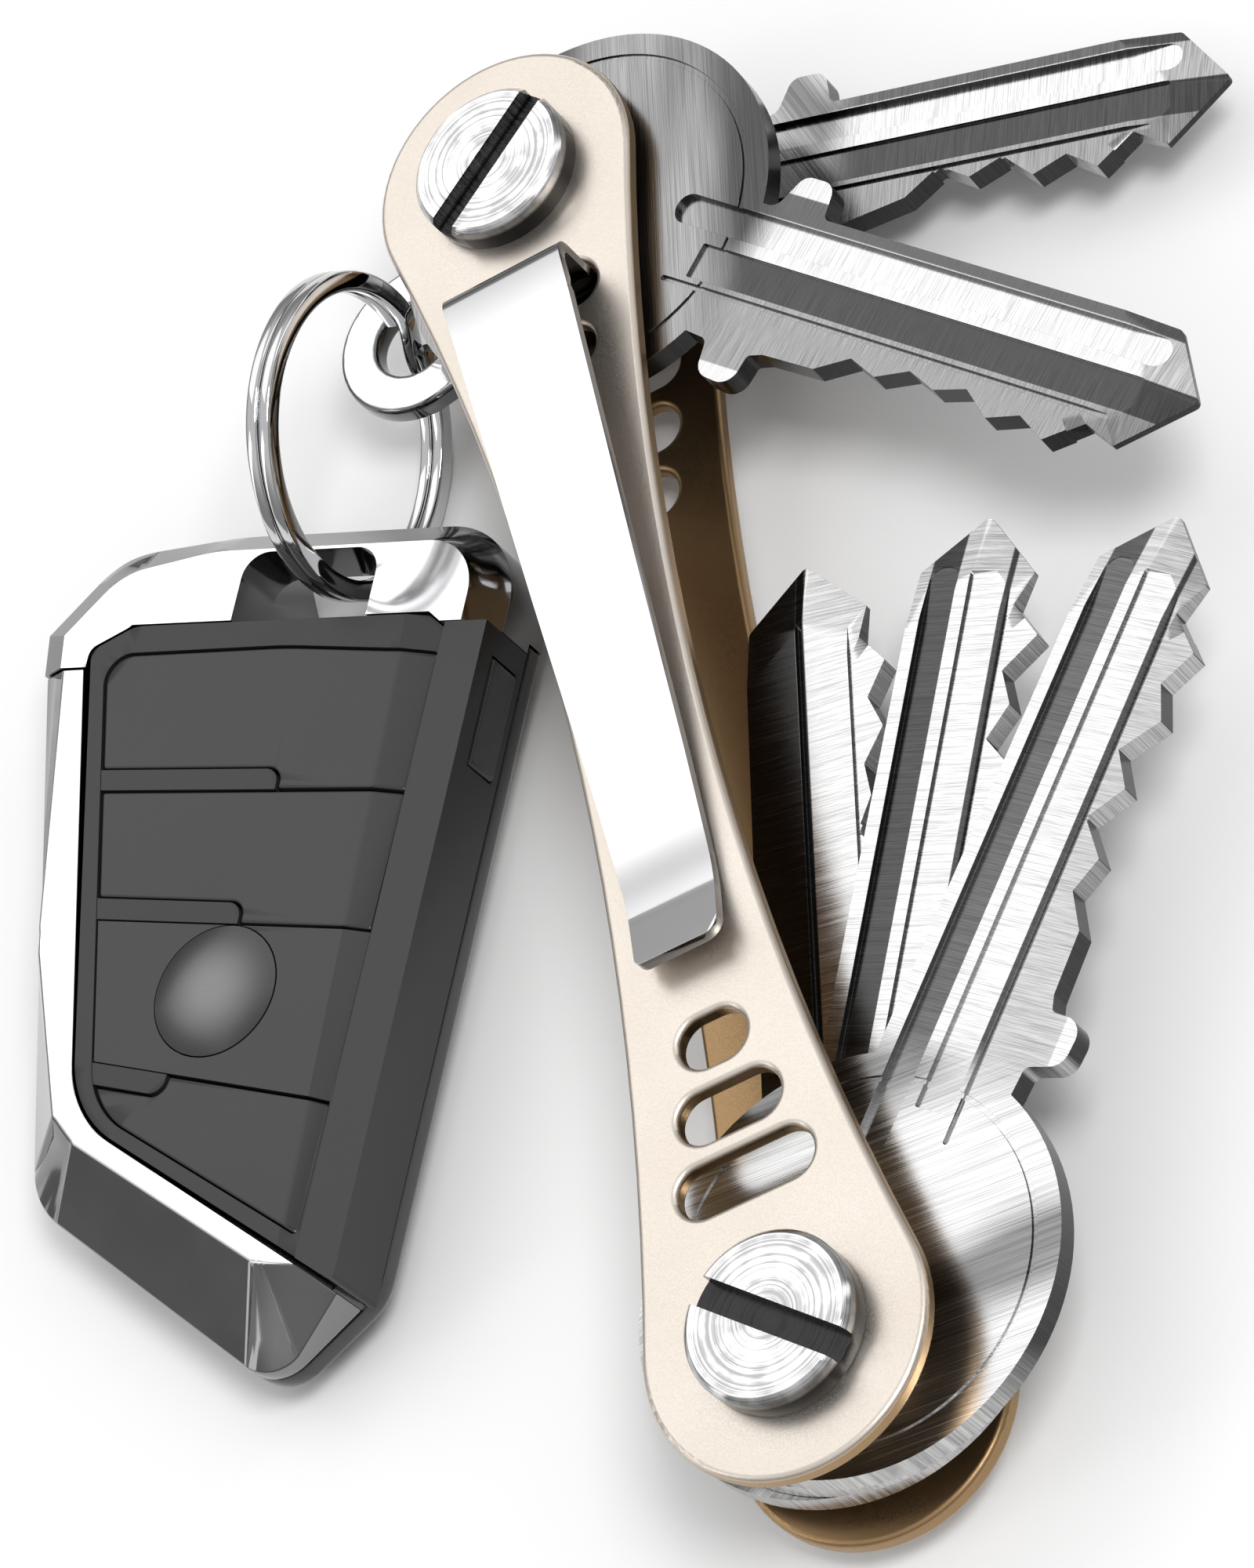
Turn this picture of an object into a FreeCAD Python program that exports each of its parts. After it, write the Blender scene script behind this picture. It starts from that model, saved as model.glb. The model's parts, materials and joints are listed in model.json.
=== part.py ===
"""Key organiser: two dog-bone plates on two posts, five keys that fold out, a pocket clip,
a ring loop with a split ring, and a remote fob on the ring.  Millimetres, +Z up."""
import FreeCAD, Part
import math
import os

import Sketcher
from FreeCAD import Placement, Rotation, Vector

SIZES = [
    ("post_y", 37.5, "half the distance between the two posts"),
    ("lobe_r", 7.9, "radius of a plate's round end"),
    ("waist_half", 3.8, "half width of a plate at its waist"),
    ("plate_thick", 1.15, "thickness of a plate"),
    ("plate_round", 0.35, "rounding of a plate's edges"),
    ("front_z", 9.45, "inner face of the front plate"),
    ("slot_half", 1.45, "half width of a slot in a plate"),
    ("post_r", 2.4, "radius of a post barrel"),
    ("post_hole_r", 2.46, "radius of a hole that turns on a post"),
    ("head_r", 4.62, "radius of a screw or post head"),
    ("head_thick", 1.88, "thickness of a head"),
    ("head_bevel", 0.3, "bevel of a head"),
    ("coin_slot", 1.55, "width of the coin slot"),
    ("coin_slot_deep", 0.95, "depth of the coin slot"),
    ("screw_r", 1.4, "radius of a screw's thread"),
    ("thread_gap", 0.05, "play round a screw's thread"),
    ("layer_gap", 0.08, "play between two layers"),
    ("key_thick", 1.42, "thickness of a key, a spacer and the loop"),
    ("clip_thick", 0.7, "thickness of the clip's spring steel"),
    ("clip_eye_r", 4.6, "radius of the clip's eye"),
    ("clip_root_half", 3.75, "half width of the clip at its bend"),
    ("clip_tip_half", 2.45, "half width of the clip at its tip"),
    ("spacer_r", 4.6, "radius of a spacer"),
    ("loop_half", 4.7, "half width of the ring loop"),
    ("loop_reach", 10.4, "distance from the post to the loop's ring hole"),
    ("loop_hole_r", 2.3, "radius of the loop's ring hole"),
    ("loop_angle", 190.0, "direction of the loop, degrees from +X"),
    ("bow_r", 11.38, "radius of a key's bow"),
    ("bow_offset", 4.97, "distance from a key's hole to its bow's centre"),
    ("bow_line", 0.3, "width of the line round a key's bow"),
    ("spine_y", 3.6, "distance from a key's middle line to its back"),
    ("belly_y", 4.7, "distance from a key's middle line to its cut edge"),
    ("groove_deep", 0.42, "depth of a key's wide groove"),
    ("groove_fine", 0.22, "depth of a key's fine grooves"),
    ("ring_r", 9.2, "outer radius of the split ring"),
    ("ring_wall", 1.25, "radial thickness of the split ring"),
    ("ring_coil", 0.85, "width of one coil of the split ring"),
    ("ring_gap", 0.06, "gap between the split ring's coils"),
    ("ring_x", -13.75, "centre of the split ring"),
    ("ring_y", 28.6, "centre of the split ring"),
    ("ring_z", 7.34, "centre of the split ring"),
    ("ring_angle", 243.7, "direction of the split ring's plane, degrees from +X"),
    ("fob_x", -31.12, "place of the fob's own origin"),
    ("fob_y", 4.67, "place of the fob's own origin"),
    ("fob_z", -1.88, "underside of the fob, level with the post heads"),
    ("fob_turn", -26.1, "turn of the fob about +Z, degrees"),
    ("fob_split", 3.4, "height of the joint between the fob's shells"),
    ("fob_face", 7.8, "height of the fob's face"),
    ("fob_joint", 0.06, "gap between two pieces of the fob"),
    ("fob_under_bevel", 2.2, "bevel round the fob's underside"),
    ("fob_rim_bevel", 1.9, "bevel round the fob's bright rim"),
    ("fob_floor", 0.9, "floor of the fob's back shell"),
    ("button_low", 6.05, "underside of a fob button"),
    ("button_top", 7.7, "top of a fob button"),
    ("badge_r", 3.9, "radius of the blank badge"),
    ("cell_r", 5.2, "radius of the coin cell"),
    ("cell_thick", 1.6, "thickness of the coin cell"),
    ("board_low", 3.5, "underside of the circuit board"),
    ("board_thick", 0.6, "thickness of the circuit board"),
]

doc = FreeCAD.newDocument("key_organiser")
sheet = doc.addObject("Spreadsheet::Sheet", "sizes")
for row, (alias, value, meaning) in enumerate(SIZES, start=1):
    sheet.set(f"A{row}", meaning)
    sheet.set(f"B{row}", str(value))
    sheet.setAlias(f"B{row}", alias)
doc.recompute()

SUB_PARTS = []


def size(alias):
    """The value of one cell of the sheet."""
    return float(sheet.get(alias))


def bind(thing, **links):
    """Bind properties to the sheet; a double underscore in a name stands for a dot."""
    for name, formula in links.items():
        thing.setExpression(name.replace("__", "."), formula)
    return thing


def sub_part(thing, label):
    """Give a finished piece its name and list it for export."""
    thing.Label = label
    SUB_PARTS.append(thing)
    return thing


# ---------------------------------------------------------------- sketching

def new_body(name):
    return doc.addObject("PartDesign::Body", name)


def new_sketch(body, name, role="XY_Plane", lift="0"):
    """A sketch on one of the body's own origin planes, raised by a formula."""
    sketch = body.newObject("Sketcher::SketchObject", name)
    plane = next(f for f in body.Origin.OriginFeatures if f.Role == role)
    sketch.AttachmentSupport = [(plane, "")]
    sketch.MapMode = "FlatFace"
    sketch.setExpression("AttachmentOffset.Base.z", lift)
    return sketch


def pad(body, sketch, length, name, both=False):
    feature = body.newObject("PartDesign::Pad", name)
    feature.Profile = sketch
    feature.Midplane = both
    return bind(feature, Length=length)


def pocket(body, sketch, length, name, upwards=False):
    """Cut downwards from the sketch, or upwards."""
    feature = body.newObject("PartDesign::Pocket", name)
    feature.Profile = sketch
    feature.Reversed = upwards
    return bind(feature, Length=length)


def draw_circle(sketch, x, y, radius):
    """A circle whose radius and centre are constraints; radius is a formula."""
    index = sketch.addGeometry(Part.Circle(Vector(x, y, 0), Vector(0, 0, 1), 1.0))
    sketch.addConstraint(Sketcher.Constraint("DistanceX", -1, 1, index, 3, x))
    sketch.addConstraint(Sketcher.Constraint("DistanceY", -1, 1, index, 3, y))
    radius_rule = sketch.addConstraint(Sketcher.Constraint("Radius", index, 1.0))
    sketch.setExpression(f"Constraints[{radius_rule}]", radius)


def corner_arc(before, corner, after, radius):
    """Start, middle and end of the arc that rounds one corner."""
    back = (before - corner).normalize()
    ahead = (after - corner).normalize()
    half = back.getAngle(ahead) / 2
    reach = radius / math.tan(half)
    inward = (back + ahead).normalize()
    middle = corner + inward * (radius / math.sin(half) - radius)
    return corner + back * reach, middle, corner + ahead * reach


def outline_edges(corners):
    """Lines and arcs of a closed outline from (x, y, corner radius) triples."""
    points = [Vector(x, y, 0) for x, y, _ in corners]
    spans = []
    for i, (_, _, radius) in enumerate(corners):
        if radius:
            spans.append(corner_arc(points[i - 1], points[i],
                                    points[(i + 1) % len(points)], radius))
        else:
            spans.append((points[i], None, points[i]))
    edges = []
    for i, (start, middle, end) in enumerate(spans):
        if middle:
            edges.append(Part.Arc(start, middle, end))
        following = spans[(i + 1) % len(spans)][0]
        if end.distanceToPoint(following) > 1e-6:
            edges.append(Part.LineSegment(end, following))
    return edges


def draw_outline(sketch, corners):
    """Draw a closed outline and tie its ends together."""
    for edge in outline_edges(corners):
        sketch.addGeometry(edge)
    sketch.detectMissingPointOnPointConstraints(1e-5)
    sketch.makeMissingPointOnPointCoincident()


def slab(name, corners, thickness, low="0", holes=()):
    """A flat body: one outline padded upwards from a height, with round holes."""
    body = new_body(name)
    outline = new_sketch(body, name + "_outline", lift=low)
    draw_outline(outline, corners)
    pad(body, outline, thickness, name + "_pad")
    if holes:
        rounds = new_sketch(body, name + "_rounds", lift=f"{low} + {thickness}")
        for x, y, radius in holes:
            draw_circle(rounds, x, y, radius)
        pocket(body, rounds, f"{thickness} + 1", name + "_holes")
    return body


def round_edges(body, chosen, radius, name):
    """Round the edges of the body's tip that a test picks."""
    doc.recompute()
    tip = body.Tip
    names = [f"Edge{i + 1}" for i, edge in enumerate(tip.Shape.Edges) if chosen(edge)]
    feature = body.newObject("PartDesign::Fillet", name)
    feature.Base = (tip, names)
    return bind(feature, Radius=radius)


def bevel_edges(body, chosen, width, name):
    """Bevel the edges of the body's tip that a test picks."""
    doc.recompute()
    tip = body.Tip
    names = [f"Edge{i + 1}" for i, edge in enumerate(tip.Shape.Edges) if chosen(edge)]
    feature = body.newObject("PartDesign::Chamfer", name)
    feature.Base = (tip, names)
    return bind(feature, Size=width)


def flat_at(edge, height):
    """Whether an edge lies in the horizontal plane at a height."""
    box = edge.BoundBox
    return abs(box.ZMin - height) < 1e-4 and abs(box.ZMax - height) < 1e-4


def cylinder(name, radius, height, x="0", y="0", z="0"):
    thing = doc.addObject("Part::Cylinder", name)
    bind(thing, Radius=radius, Height=height)
    return bind(thing, Placement__Base__x=x, Placement__Base__y=y, Placement__Base__z=z)


def box(name, length, width, height, x="0", y="0", z="0"):
    thing = doc.addObject("Part::Box", name)
    bind(thing, Length=length, Width=width, Height=height)
    return bind(thing, Placement__Base__x=x, Placement__Base__y=y, Placement__Base__z=z)


def join(name, things):
    thing = doc.addObject("Part::MultiFuse", name)
    thing.Shapes = things
    return thing


def group(name, things):
    """Several separate solids kept in one piece."""
    thing = doc.addObject("Part::Compound", name)
    thing.Links = things
    return thing


def cut(name, base, tool):
    thing = doc.addObject("Part::Cut", name)
    thing.Base = base
    thing.Tool = tool
    return thing


# ---------------------------------------------------------------- layers

def layer(number):
    """Formula for the underside of a key layer, counted down from the front plate."""
    below = f"{number} * (sizes.key_thick + sizes.layer_gap)"
    return f"sizes.front_z - sizes.clip_thick - 0.02 - {below}"


TOP = 1
BOTTOM = -1


# ---------------------------------------------------------------- plates

def dog_bone(sketch):
    """Two round ends joined by two wide hollow arcs that touch them smoothly."""
    lobe = size("lobe_r")
    post = size("post_y")
    waist = size("waist_half")
    hollow = (waist ** 2 + post ** 2 - lobe ** 2) / (2 * (lobe - waist))
    far = waist + hollow
    spread = math.atan2(post, far)
    for side in (TOP, BOTTOM):
        turn = 0 if side == TOP else math.pi
        arc = Part.Circle(Vector(0, side * post, 0), Vector(0, 0, 1), lobe)
        sketch.addGeometry(Part.ArcOfCircle(arc, turn - spread, turn + math.pi + spread))
    for side in (0, math.pi):
        centre = Vector(far * math.cos(side), 0, 0)
        arc = Part.Circle(centre, Vector(0, 0, 1), hollow)
        middle = side + math.pi
        sketch.addGeometry(Part.ArcOfCircle(arc, middle - spread, middle + spread))


SLOTS = [(28.3, 3.9), (24.3, 2.95), (20.2, 1.95)]


def obround(x_half, y, half_width):
    """Corners of a slot that lies along X."""
    radius = half_width * 0.999
    return [(x_half, y - half_width, radius), (x_half, y + half_width, radius),
            (-x_half, y + half_width, radius), (-x_half, y - half_width, radius)]


def plate(label, low):
    body = new_body(label)
    outline = new_sketch(body, label + "_outline", lift=low)
    dog_bone(outline)
    pad(body, outline, "sizes.plate_thick", label + "_pad")
    top = f"{low} + sizes.plate_thick"
    slots = new_sketch(body, label + "_slots", lift=top)
    for y, half in SLOTS:
        for side in (TOP, BOTTOM):
            draw_outline(slots, obround(half, side * y, size("slot_half")))
    pocket(body, slots, "sizes.plate_thick + 1", label + "_slot_cut")
    holes = new_sketch(body, label + "_posts", lift=top)
    for side in (TOP, BOTTOM):
        draw_circle(holes, 0, side * size("post_y"), "sizes.post_hole_r")
    pocket(body, holes, "sizes.plate_thick + 1", label + "_post_cut")
    doc.recompute()
    faces = (body.Shape.BoundBox.ZMin, body.Shape.BoundBox.ZMax)

    def rim(edge):
        """The outer edges and the slots' edges, but not the post holes'."""
        if not any(flat_at(edge, face) for face in faces):
            return False
        middle = edge.CenterOfMass
        at_post = abs(abs(middle.y) - size("post_y")) < 0.5 and edge.BoundBox.XLength < 6
        return not at_post

    round_edges(body, rim, "sizes.plate_round", label + "_rounded")
    return sub_part(body, label)


plate("back_plate", "0")
plate("front_plate", "sizes.front_z")


# ---------------------------------------------------------------- posts and screws

def post(label, side):
    """A threaded barrel with a plain head under the back plate."""
    head = cylinder(label + "_head", "sizes.head_r", "sizes.head_thick",
                    z="-sizes.head_thick")
    barrel = cylinder(label + "_barrel", "sizes.post_r",
                      "sizes.front_z + sizes.plate_thick - 0.15")
    bore = cylinder(label + "_bore", "sizes.screw_r + sizes.thread_gap",
                    "sizes.front_z + sizes.plate_thick", z="0.4")
    solid = join(label + "_solid", [head, barrel])
    bored = cut(label + "_bored", solid, bore)
    doc.recompute()
    low = bored.Shape.BoundBox.ZMin
    bevel = doc.addObject("Part::Chamfer", label + "_bevel")
    bevel.Base = bored
    width = size("head_bevel")
    bevel.Edges = [(i + 1, width, width) for i, edge in enumerate(bored.Shape.Edges)
                   if flat_at(edge, low)]
    bind(bevel, Placement__Base__y=f"{side} * sizes.post_y")
    return sub_part(bevel, label)


def screw(label, side, slot_angle):
    """A big-headed screw with a coin slot; the thread ends inside the post."""
    head = cylinder(label + "_head", "sizes.head_r", "sizes.head_thick",
                    z="sizes.front_z + sizes.plate_thick")
    thread = cylinder(label + "_thread", "sizes.screw_r", "7.5",
                      z="sizes.front_z + sizes.plate_thick - 7.5")
    solid = join(label + "_solid", [head, thread])
    slot = box(label + "_slot", "3 * sizes.head_r", "sizes.coin_slot",
               "sizes.head_thick", x="-1.5 * sizes.head_r", y="-sizes.coin_slot / 2",
               z="sizes.front_z + sizes.plate_thick + sizes.head_thick"
                 " - sizes.coin_slot_deep")
    turned = group(label + "_slot_turned", [slot])
    turned.Placement = Placement(Vector(), Rotation(Vector(0, 0, 1), slot_angle))
    doc.recompute()
    high = solid.Shape.BoundBox.ZMax
    bevel = doc.addObject("Part::Chamfer", label + "_bevel")
    bevel.Base = solid
    width = size("head_bevel")
    bevel.Edges = [(i + 1, width, width) for i, edge in enumerate(solid.Shape.Edges)
                   if flat_at(edge, high)]
    slotted = cut(label + "_slotted", bevel, turned)
    bind(slotted, Placement__Base__y=f"{side} * sizes.post_y")
    return sub_part(slotted, label)


post("top_post", TOP)
post("bottom_post", BOTTOM)
screw("top_screw", TOP, 38.0)
screw("bottom_screw", BOTTOM, -43.0)


def spacers(label, side, levels, with_shim):
    """Washers that fill the layers a post leaves empty."""
    rings = []
    heights = [(layer(n), "sizes.key_thick") for n in levels]
    if with_shim:
        heights.append(("sizes.front_z - sizes.clip_thick - 0.05", "sizes.clip_thick"))
    for i, (low, thick) in enumerate(heights):
        disc = cylinder(f"{label}_disc_{i}", "sizes.spacer_r", thick, z=low)
        hole = cylinder(f"{label}_hole_{i}", "sizes.post_hole_r", f"{thick} + 2",
                        z=f"{low} - 1")
        rings.append(cut(f"{label}_washer_{i}", disc, hole))
    stack = group(label + "_stack", rings)
    bind(stack, Placement__Base__y=f"{side} * sizes.post_y")
    return sub_part(stack, label)


spacers("top_spacers", TOP, (2, 3), False)
spacers("bottom_spacers", BOTTOM, (1, 5), True)


# ---------------------------------------------------------------- pocket clip

def strip_corners(centre, thickness):
    """Outline of a bent strip from (y, z, bend radius) points on its middle line."""
    points = [Vector(y, z, 0) for y, z, _ in centre]
    sides = {1: [], -1: []}
    for i, point in enumerate(points):
        ahead = (points[min(i + 1, len(points) - 1)] - point)
        back = (point - points[max(i - 1, 0)])
        ahead = ahead if ahead.Length else back
        back = back if back.Length else ahead
        ahead.normalize()
        back.normalize()
        bisector = (Vector(-ahead.y, ahead.x, 0) + Vector(-back.y, back.x, 0)).normalize()
        half = thickness / 2 / bisector.dot(Vector(-ahead.y, ahead.x, 0))
        turning = back.x * ahead.y - back.y * ahead.x
        bend = centre[i][2]
        for side in sides:
            inner = side * turning > 0
            radius = bend + (-thickness / 2 if inner else thickness / 2) if bend else 0
            corner = point + bisector * (half * side)
            sides[side].append((corner.x, corner.y, radius))
    return sides[1] + sides[-1][::-1]


def pocket_clip():
    """Spring strip: eye under the front plate, hairpin through the slot, sprung foot."""
    face = size("front_z") + size("plate_thick")
    tongue = size("front_z") - 0.05 - size("clip_thick") / 2
    route = [
        (size("post_y") + size("clip_eye_r"), tongue, 0),
        (28.3, tongue, 1.0),
        (28.3, face + 3.75, 1.05),
        (25.2, face + 3.35, 12.0),
        (8.0, face + 2.0, 30.0),
        (-4.0, face + 0.85, 20.0),
        (-11.3, face + 0.40, 9.0),
        (-15.6, face + 1.45, 0),
    ]
    profile = new_body("clip_profile")
    side = new_sketch(profile, "clip_side", role="YZ_Plane")
    draw_outline(side, strip_corners(route, size("clip_thick")))
    pad(profile, side, "4 * sizes.clip_eye_r", "clip_side_pad", both=True)
    root = size("clip_root_half")
    tip = size("clip_tip_half")
    eye = size("clip_eye_r")
    post_y = size("post_y")
    plan = [(-tip, -15.6, 0.6), (tip, -15.6, 1.1), (root, 30.0, 3.0),
            (eye, 34.0, 3.0), (eye, post_y + eye, eye * 0.999),
            (-eye, post_y + eye, eye * 0.999), (-eye, 34.0, 3.0), (-root, 30.0, 3.0)]
    above = slab("clip_plan", plan, "20")
    eye_hole = cylinder("clip_eye_hole", "sizes.post_hole_r", "20", y="sizes.post_y")
    shape = doc.addObject("Part::Common", "clip_shape")
    shape.Base = profile
    shape.Tool = above
    return sub_part(cut("clip_bored", shape, eye_hole), "pocket_clip")


pocket_clip()


# ---------------------------------------------------------------- ring loop

def ring_loop():
    """A flat link: one hole turns on the top post, the other carries the split ring."""
    half = size("loop_half")
    reach = size("loop_reach")
    blunt = half * 0.999
    corners = [(-half, -half, blunt), (reach + half, -half, blunt),
               (reach + half, half, blunt), (-half, half, blunt)]
    body = slab("loop_body", corners, "sizes.key_thick",
                holes=[(0, 0, "sizes.post_hole_r"), (reach, 0, "sizes.loop_hole_r")])
    thickness = size("key_thick")

    def ring_end(edge):
        return ((flat_at(edge, 0) or flat_at(edge, thickness))
                and abs(edge.CenterOfMass.x) > 3)

    bevel_edges(body, ring_end, "0.2", "loop_bevel")
    bind(body, Placement__Base__y="sizes.post_y", Placement__Base__z=layer(4))
    body.Placement.Rotation = Rotation(Vector(0, 0, 1), size("loop_angle"))
    return sub_part(body, "ring_loop")


ring_loop()


# ---------------------------------------------------------------- keys

CUT_PITCH = 1.95
FIRST_CUT = 3.5
NECK_Y = 3.9
# turn: direction from +X; reach: hole to tip; stop: hole to the shoulder stops;
# aside: how far the blade's middle line lies from the hole; cuts: depths from the tip
KEYS = {
    "key_a": dict(side=TOP, level=5, turn=-18.7, reach=40.1, stop=14.3, aside=2.35,
                  bow=9.6, back_stop=True, cuts=(3.4, 2.4, 4.2, 3.0, 3.9, 2.3, 3.2, 2.1, 3.7)),
    "key_b": dict(side=TOP, level=1, turn=-45.5, back_stop=True,
                  cuts=(3.5, 2.9, 4.5, 3.6, 4.3, 3.1, 3.7, 3.1, 4.0, 3.4, 4.6)),
    "key_c": dict(side=BOTTOM, level=2, turn=50.4,
                  cuts=(3.2, 2.4, 4.4, 3.3, 4.2, 2.5, 3.8, 2.3, 4.0, 3.3, 4.6)),
    "key_d": dict(side=BOTTOM, level=3, turn=65.0,
                  cuts=(3.2, 2.5, 4.3, 2.6, 3.4, 2.4, 4.4, 3.0, 3.6, 3.0, 4.6)),
    "key_e": dict(side=BOTTOM, level=4, turn=79.2, slotted=True,
                  cuts=(3.4, 3.0, 4.5, 3.4, 4.2, 3.0, 3.3, 2.4, 4.2, 3.2, 4.6)),
}


def blade_corners(start, stop, reach, cuts, back_stop):
    """Blade outline: back on +Y, cut edge on -Y, tip at the reach, stops at the bow."""
    spine = size("spine_y")
    belly = -size("belly_y")
    corners = [(start, NECK_Y, 0)]
    if back_stop:
        corners += [(stop - 1.9, spine - 0.1, 0.8), (stop - 1.1, spine + 2.1, 0.8),
                    (stop + 1.0, spine + 2.1, 0.9), (stop + 1.5, spine, 0.4)]
    corners += [(reach - 3.1, spine, 0.4), (reach, 0.05, 0.35)]
    for i, deep in enumerate(cuts):
        corners.append((reach - FIRST_CUT - CUT_PITCH * i, -deep, 0.08))
    corners += [
        (stop + 2.3, belly, 0.4), (stop + 1.4, belly - 0.3, 0.3),
        (stop + 1.3, belly - 2.3, 1.05), (stop - 1.2, belly - 2.1, 1.0),
        (stop - 1.7, belly - 0.1, 0.5), (start, -NECK_Y, 0),
    ]
    return corners


def groove(left, right, low, high, round_end=0.95):
    """Corners of a groove along a blade."""
    radius = (high - low) / 2 * round_end
    return [(left, low, radius), (right, low, radius),
            (right, high, radius), (left, high, radius)]


def tip_bevels(label, reach, first_cut_y):
    """Four sloping blocks that shave both faces of the tip to a blunt arrow."""
    middle = size("key_thick") / 2
    blunt = 0.22
    inset = 2.7
    slope = math.degrees(math.atan2(middle - blunt, inset))
    back_edge = math.degrees(math.atan2(3.1, size("spine_y")))
    cut_edge = -math.degrees(math.atan2(FIRST_CUT, first_cut_y))
    blocks = []
    for face in (1, -1):
        for number, outward in enumerate((back_edge, cut_edge)):
            tag = "top" if face > 0 else "low"
            block = doc.addObject("Part::Box", f"{label}_shave_{tag}_{number}")
            block.Length = 14
            block.Width = 6.4
            block.Height = 2
            along = Placement(Vector(reach, 0, middle + face * blunt),
                              Rotation(Vector(0, 0, 1), outward - 90))
            tilt = Placement(Vector(), Rotation(Vector(1, 0, 0), -face * slope))
            corner = Placement(Vector(-7, -3.2, 0 if face > 0 else -2), Rotation())
            block.Placement = along * tilt * corner
            blocks.append(block)
    return group(label + "_shaving", blocks)


def face_grooves(label, body, reach, stop, slotted):
    """Mill the same long grooves into both faces of a blade."""
    wide = [groove(stop - 8.1, reach - 2.9, 1.1, 2.9)]
    fine = [groove(stop - 5.1, reach - 3.4, -1.75, 0.35, 0.12),
            groove(stop - 6.6, reach - 4.5, -2.35, -2.05)]
    if slotted:
        wide = [groove(stop - 4.0, reach - 3.6, 0.2, 0.65)]
        fine = [groove(stop - 4.0, reach - 4.6, -2.6, -2.35)]
    for face, upwards in (("sizes.key_thick", False), ("0", True)):
        tag = "low" if upwards else "top"
        for kind, outlines in (("wide", wide), ("fine", fine)):
            sketch = new_sketch(body, f"{label}_{kind}_{tag}", lift=face)
            for corners in outlines:
                draw_outline(sketch, corners)
            depth = "sizes.groove_deep" if kind == "wide" else "sizes.groove_fine"
            pocket(body, sketch, depth, f"{label}_{kind}_cut_{tag}", upwards)


def key(label, side, level, turn, cuts, reach=47.4, stop=18.6, aside=0.0, bow=None,
        back_stop=False, slotted=False):
    """One key, drawn with its blade's middle line along +X, then moved onto its post."""
    body = new_body(label + "_body")
    bow_sketch = new_sketch(body, label + "_bow")
    bow_x = size("bow_offset") if bow is None else 1.6
    bow_radius = "sizes.bow_r" if bow is None else str(bow)
    bow_y = 0 if bow is None else -aside / 2
    draw_circle(bow_sketch, bow_x, bow_y, bow_radius)
    pad(body, bow_sketch, "sizes.key_thick", label + "_bow_pad")
    blade = new_sketch(body, label + "_blade")
    draw_outline(blade, blade_corners(bow_x, stop, reach, cuts, back_stop))
    pad(body, blade, "sizes.key_thick", label + "_blade_pad")
    hole = new_sketch(body, label + "_hole", lift="sizes.key_thick")
    draw_circle(hole, 0, -aside, "sizes.post_hole_r")
    pocket(body, hole, "2 * sizes.key_thick", label + "_hole_cut")
    face_grooves(label, body, reach, stop, slotted)
    line = new_sketch(body, label + "_line", lift="sizes.key_thick")
    draw_circle(line, bow_x, bow_y, f"{bow_radius} - 1.3")
    draw_circle(line, bow_x, bow_y, f"{bow_radius} - 1.3 - sizes.bow_line")
    pocket(body, line, "0.12", label + "_line_cut")
    shaped = cut(label + "_shaved", body, tip_bevels(label, reach, cuts[0]))
    rotation = Rotation(Vector(0, 0, 1), turn)
    to_post = rotation.multVec(Vector(0, aside, 0))
    shaped.Placement.Rotation = rotation
    bind(shaped, Placement__Base__x=str(to_post.x),
         Placement__Base__y=f"{side} * sizes.post_y + {to_post.y}",
         Placement__Base__z=layer(level))
    return sub_part(shaped, label)


for key_label, facts in KEYS.items():
    key(key_label, **facts)


# ---------------------------------------------------------------- split ring

def split_ring():
    """Two flat coils side by side, joined where the wire crosses over."""
    coils = []
    for i in (0, 1):
        low = f"{i} * (sizes.ring_coil + sizes.ring_gap) - sizes.ring_coil - sizes.ring_gap / 2"
        outer = cylinder(f"coil_outer_{i}", "sizes.ring_r", "sizes.ring_coil", z=low)
        inner = cylinder(f"coil_inner_{i}", "sizes.ring_r - sizes.ring_wall",
                         "sizes.ring_coil + 2", z=f"{low} - 1")
        coils.append(cut(f"coil_{i}", outer, inner))
    bridge = box("coil_bridge", "1.6", "sizes.ring_wall - 0.1", "sizes.ring_coil",
                 x="-0.8", y="sizes.ring_r - sizes.ring_wall + 0.02",
                 z="-sizes.ring_coil / 2")
    ring = join("coils", coils + [bridge])
    flat = Rotation(Vector(1, 0, 0), 90)
    ring.Placement.Rotation = Rotation(Vector(0, 0, 1), size("ring_angle")) * flat
    bind(ring, Placement__Base__x="sizes.ring_x", Placement__Base__y="sizes.ring_y",
         Placement__Base__z="sizes.ring_z")
    return sub_part(ring, "split_ring")


split_ring()


# ---------------------------------------------------------------- remote fob

def fob_piece(thing, label):
    """Put a piece drawn in the fob's own frame in its place."""
    thing.Placement.Rotation = Rotation(Vector(0, 0, 1), size("fob_turn"))
    bind(thing, Placement__Base__x="sizes.fob_x", Placement__Base__y="sizes.fob_y",
         Placement__Base__z="sizes.fob_z")
    return sub_part(thing, label)


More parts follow.
